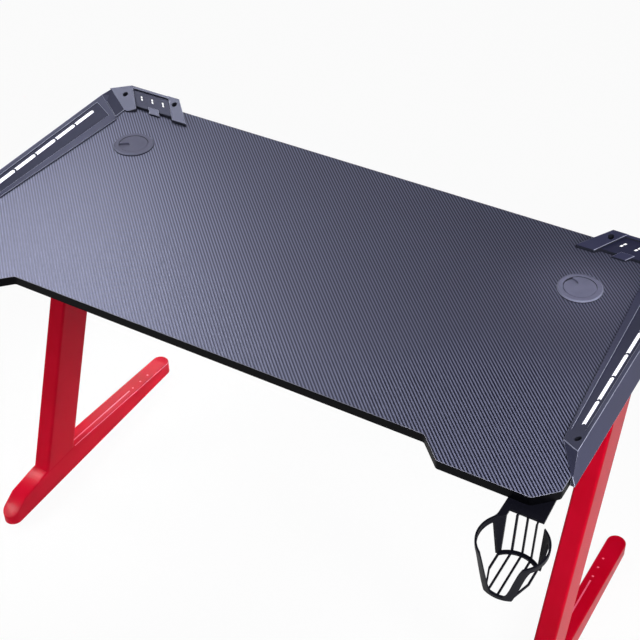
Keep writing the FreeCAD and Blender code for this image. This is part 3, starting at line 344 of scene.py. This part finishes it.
def paint_cover_shade(mesh, cover_top, depth):
    """Paints shade on a cover: the steep faces and the faces deeper than a depth under the cover's top take
    the darker finish, and the upright faces that look inward or forward take the near-black finish of painted
    shadow."""
    upright_within, inward_from = 0.5, 0.3
    (x, y, z), facing = face_facts(mesh)
    depth_below = cover_top(np.abs(x - desk_middle_x), y - desk_middle_y) - z
    sunk = (facing[2] < level_from) | (depth_below > depth)
    outward = facing[0] * np.sign(x - desk_middle_x)
    inward = (outward < -inward_from) | (facing[1] < -inward_from)
    wall = (np.abs(facing[2]) < upright_within) & inward
    number_faces(mesh, np.where(wall, cover_shadow_number, sunk))


def trim_top(x, y):
    """Height of a side trim's top: it rises from the inner lip, which splays with depth, to the ridge."""
    lip_x, lip_z, lip_splay = 0.5423, 0.713, 0.072
    ridge_x, ridge_rise = 0.587, 0.017
    lip = lip_x - lip_splay * y
    return lip_z + ridge_rise * (x - lip) / (ridge_x - lip)


def housing_roof(x, y):
    """Height of a corner housing's roof, the same at any x, which slopes up towards the desk's rear edge."""
    eaves_y, eaves_z, roof_slope = 0.2585, 0.716, 0.37
    return eaves_z + roof_slope * (y - eaves_y)


for side in sides:
    trim_mesh = eased(side + "side_trim", width=0.0007, shortest=0.012, foremost=-2.0)
    paint_cover_shade(trim_mesh, trim_top, depth=0.0009)
    housing_mesh = eased(side + "corner_housing", width=0.0006, shortest=0.009, foremost=-0.8)
    paint_cover_shade(housing_mesh, housing_roof, depth=0.0036)

# Light line and corner lamps: diffusers of milky white plastic, pushed up into the covers from below.
# The dashes and windows stand a little proud of the sunk floors, and shine evenly when the lamps are on.
lit_white = grained_finish(
    "lit_diffuser", (240, 240, 244), (250, 250, 252), cloud=(120.0, 2.0), stops=(0.3, 0.7),
    roughness=(0.3, 0.45), Emission_Color=(1.0, 1.0, 1.0, 1.0), Emission_Strength=0.9,
)
dress([side + piece for side in sides for piece in ("light_diffuser", "corner_lens")], lit_white)

# Lamp tapes and lamp boards: circuit strips with a white solder mask, and a lamp chip for each dash.
# They lie behind the diffusers and under the corner lenses, hidden inside the covers.
lamp_tape = grained_finish(
    "lamp_circuit", (196, 198, 196), (222, 224, 222), cloud=(300.0, 3.0), stops=(0.3, 0.7),
    roughness=(0.4, 0.6), depth=0.00005,
)
dress([side + piece for side in sides for piece in ("light_tape", "lamp_board")], lamp_tape)

# Cable grommets: two-part fittings of satin plastic, a flanged sleeve and a turning cap with a cable notch.
# The sleeve is pressed into a hole in the board; a light colour on its chamfer is a painted highlight, and a
# near-black colour on its upright walls is painted shadow.
grommet_plastic = grained_finish(
    "grommet_plastic", (110, 111, 135), (120, 121, 146), cloud=(30.0, 3.0), grain=(1600.0, 3.0),
    stops=(0.3, 0.7), roughness=(0.46, 0.62), depth=0.00005, Specular_IOR_Level=0.2,
)
# The second finish is a painted highlight, the third painted shadow.
sleeve_finishes = [
    grommet_plastic,
    cover_plastic("grommet_painted_highlight", (128, 130, 154), (142, 144, 168), rough=0.3),
    cover_plastic("grommet_painted_shadow", (12, 13, 20), (18, 19, 28), rough=0.6),
]
sleeve_shadow_number = 2
upright_below, chamfer_below = 0.3, 0.95
sleeve_crease = math.radians(30.0)
dress([side + "grommet_cap" for side in sides], grommet_plastic)
for side in sides:
    sleeve_mesh = merged_copy(side + "grommet_sleeve", "_shade_painted", sleeve_finishes)
    middle, facing = face_facts(sleeve_mesh)
    chamfer = (facing[2] > upright_below) & (facing[2] < chamfer_below)
    # Chamfer faces take the light finish, a painted highlight; upright faces the near-black one, painted
    # shadow.
    number_faces(sleeve_mesh, np.where(np.abs(facing[2]) < upright_below, sleeve_shadow_number, chamfer))
    sleeve_mesh.set_sharp_from_angle(angle=sleeve_crease)
    show_instead(sleeve_mesh, side + "grommet_sleeve")

# Cup holder and power inlets: black plastic, moulded with a fine leather grain.
# The holder is screwed to the underside of the board, and the inlets are pushed into the housings.
black_plastic = grained_finish(
    "black_moulded_plastic", (10, 10, 17), (21, 21, 31), cloud=(800.0, 4.0), roughness=(0.36, 0.55),
    depth=0.00012, Specular_IOR_Level=0.1,
)
dress(["cup_holder", "left_power_inlet", "right_power_inlet"], black_plastic)

# Studio: a pale floor that keeps the desk's soft shadow and curves up far away, and is seen as almost white.
# A key at the right front, a small light at the right rear and a wide one at the left rear light the board;
# weaker lights with narrow beams lift the covers, the right grommet and the legs.
def dished_floor(flat_radius, rim_radius, rise, rings, spokes):
    """A round floor, flat out to a radius; beyond it the height is the rise times the square of the way on.
    A disc of half that radius fills its middle."""
    radius, angle = np.meshgrid(
        np.concatenate([[flat_radius / 2.0], np.linspace(flat_radius, rim_radius, rings)]),
        np.linspace(0.0, 2.0 * math.pi, spokes, endpoint=False), indexing="ij",
    )
    height = rise * np.maximum(radius - flat_radius, 0.0) ** 2
    corners = np.stack([radius * np.cos(angle), radius * np.sin(angle), height], axis=-1).reshape(-1, 3)
    ring, spoke = np.meshgrid(np.arange(rings), np.arange(spokes), indexing="ij")
    onward = (spoke + 1) % spokes
    inner, outer = ring * spokes, (ring + 1) * spokes
    quads = np.stack([inner + spoke, outer + spoke, outer + onward, inner + onward], axis=-1).reshape(-1, 4)
    mesh = bpy.data.meshes.new("studio_floor")
    mesh.from_pydata(corners.tolist(), [], [list(range(spokes))] + quads.tolist())
    return mesh


glow_share = 0.95
floor_mesh = dished_floor(flat_radius=9.0, rim_radius=30.0, rise=0.02, rings=24, spokes=96)
floor = bpy.data.objects.new("studio_floor", floor_mesh)
bpy.context.scene.collection.objects.link(floor)
pale_floor, tree, shader = new_finish("pale_floor")
set_sockets(shader, {"Base Color": linear(244, 244, 246), "Roughness": 0.9})
glow = add_node(tree, "ShaderNodeEmission", Color=(1.0, 1.0, 1.0, 1.0), Strength=1.0)
seen = add_node(tree, "ShaderNodeLightPath")
mirrored = add_node(tree, "ShaderNodeMath", {"operation": "MAXIMUM"})
through_glass = add_node(tree, "ShaderNodeMath", {"operation": "MAXIMUM"})
share = add_node(tree, "ShaderNodeMath", {"operation": "MULTIPLY"})
share.inputs[1].default_value = glow_share
mix = add_node(tree, "ShaderNodeMixShader")
tree.links.new(seen.outputs["Is Camera Ray"], mirrored.inputs[0])
tree.links.new(seen.outputs["Is Glossy Ray"], mirrored.inputs[1])
tree.links.new(mirrored.outputs["Value"], through_glass.inputs[0])
tree.links.new(seen.outputs["Is Transmission Ray"], through_glass.inputs[1])
tree.links.new(through_glass.outputs["Value"], share.inputs[0])
tree.links.new(share.outputs["Value"], mix.inputs["Fac"])
tree.links.new(shader.outputs["BSDF"], mix.inputs[1])
tree.links.new(glow.outputs["Emission"], mix.inputs[2])
tree.links.new(mix.outputs["Shader"], tree.nodes["Material Output"].inputs["Surface"])
floor_mesh.materials.append(pale_floor)


def softbox(name, place, aim, width, power, beam=180.0):
    """A square area light at a place, turned to face an aim point, with a beam of so many degrees."""
    lamp = bpy.data.lights.new(name, "AREA")
    lamp.shape = "RECTANGLE"
    lamp.size = width
    lamp.size_y = width
    lamp.energy = power
    lamp.spread = math.radians(beam)
    light = bpy.data.objects.new(name, lamp)
    facing = (Vector(place) - Vector(aim)).to_track_quat("Z", "Y")
    light.matrix_world = Matrix.Translation(place) @ facing.to_matrix().to_4x4()
    bpy.context.scene.collection.objects.link(light)


softbox("key_softbox", (1.1, -0.7, 1.35), aim=(0.4, -0.15, 0.7), width=0.5, power=14.2)
softbox("edge_softbox", (1.6, 1.95, 1.9), aim=(0.2, 0.05, 0.7), width=0.4, power=5.0)
softbox("left_softbox", (-2.1, 1.2, 2.85), aim=(-0.3, 0.0, 0.71), width=1.5, power=22.0)
softbox("trim_softbox", (-0.88, 1.59, 2.79), aim=(-0.57, 0.05, 0.72), width=0.8, power=0.27, beam=26.0)
softbox("housing_softbox", (-2.016, 0.826, 3.21), aim=(-0.3, 0.3, 0.72), width=0.7, power=0.3, beam=20.0)
softbox("foot_softbox", (0.6, 1.9, 1.2), aim=(-0.53, 0.4, 0.05), width=0.4, power=0.65, beam=14.0)
softbox("right_softbox", (1.9, -0.1, 1.05), aim=(0.56, 0.1, 0.2), width=0.5, power=0.6, beam=30.0)
softbox("grommet_softbox", (1.1, 0.6, 1.9), aim=(0.4355, 0.212, 0.715), width=0.1, power=0.0146, beam=7.0)
softbox("toe_softbox", (-1.62, -1.1, 1.5), aim=(-0.545, -0.19, 0.03), width=0.4, power=0.13, beam=10.0)
softbox("tail_softbox", (-1.531, 1.57, 1.176), aim=(-0.545, 0.25, 0.044), width=0.4, power=0.065, beam=14.0)
softbox(
    "toe_top_softbox", (-1.613, 0.464, 1.654), aim=(-0.553, -0.12, 0.06), width=0.4, power=0.11, beam=10.0,
)
softbox("leg_softbox", (-1.62, -1.1, 1.5), aim=(-0.53, 0.05, 0.15), width=0.8, power=1.15, beam=44.0)
world = bpy.data.worlds.new("studio_air")
world.use_nodes = True
set_sockets(world.node_tree.nodes["Background"], {"Color": (1.0, 1.0, 1.0, 1.0), "Strength": 0.05})
bpy.context.scene.world = world

# Camera: the photograph's viewpoint, above and in front of the desk's right end, about 2.4 m from its middle.
# Its place, its turns in radians and its focal length in pixels were fitted to the desk's straight edges, its
# round grommets and its legs.
photo_pixels = 640.0
focal_pixels = 1376.34
eye_place = (0.97592, -1.484012, 2.09154)
pitch, yaw, roll = 0.69203, 0.54611, 0.02389
eye = bpy.data.cameras.new("photo_camera")
eye.sensor_width = 36.0
eye.lens = focal_pixels / photo_pixels * eye.sensor_width
eye.clip_end = 60.0
camera = bpy.data.objects.new("photo_camera", eye)
camera.matrix_world = (
    Matrix.Translation(eye_place)
    @ Matrix.Rotation(yaw, 4, "Z")
    @ Matrix.Rotation(math.pi / 2.0 - pitch, 4, "X")
    @ Matrix.Rotation(-roll, 4, "Z")
)
bpy.context.scene.collection.objects.link(camera)
bpy.context.scene.camera = camera
bpy.context.scene.view_settings.view_transform = "Standard"
